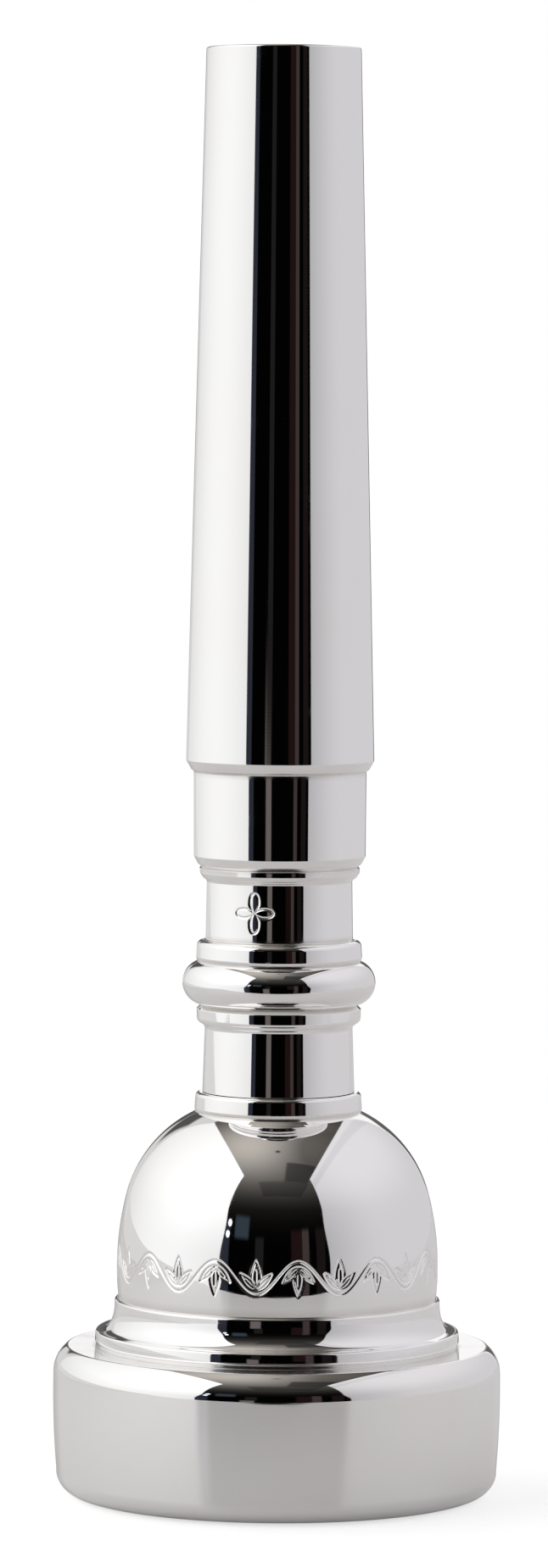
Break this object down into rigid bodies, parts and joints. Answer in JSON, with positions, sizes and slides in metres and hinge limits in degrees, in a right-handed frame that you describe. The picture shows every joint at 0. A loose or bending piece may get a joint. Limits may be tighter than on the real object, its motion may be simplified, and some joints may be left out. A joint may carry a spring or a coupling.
{
  "type": "brass instrument mouthpiece",
  "caption": "Small cup mouthpiece with a rounded rim, a domed cup, turned beads on the neck and a tapered shank; rim, cup and backbore unscrew.",
  "frame": {"origin": "centre of the rim's face, in the plane that the mouthpiece stands on", "axes": "+Z along the turned axis, from the rim to the small end of the shank"},
  "size_m": [0.0272, 0.0272, 0.088],
  "materials": {
    "silver_plated_brass": "silver plate over turned brass, polished to a mirror"
  },
  "bodies": {
    "rim": {"rim": "silver_plated_brass"},
    "cup": {"cup": "silver_plated_brass"},
    "backbore": {"backbore": "silver_plated_brass"}
  },
  "joints": [
    {"name": "cup_unscrew", "type": "slide", "parent": "rim", "child": "cup", "axis": [0, 0, 1], "range_m": [0, 0.012]},
    {"name": "backbore_unscrew", "type": "slide", "parent": "cup", "child": "backbore", "axis": [0, 0, 1], "range_m": [0, 0.018]}
  ]
}
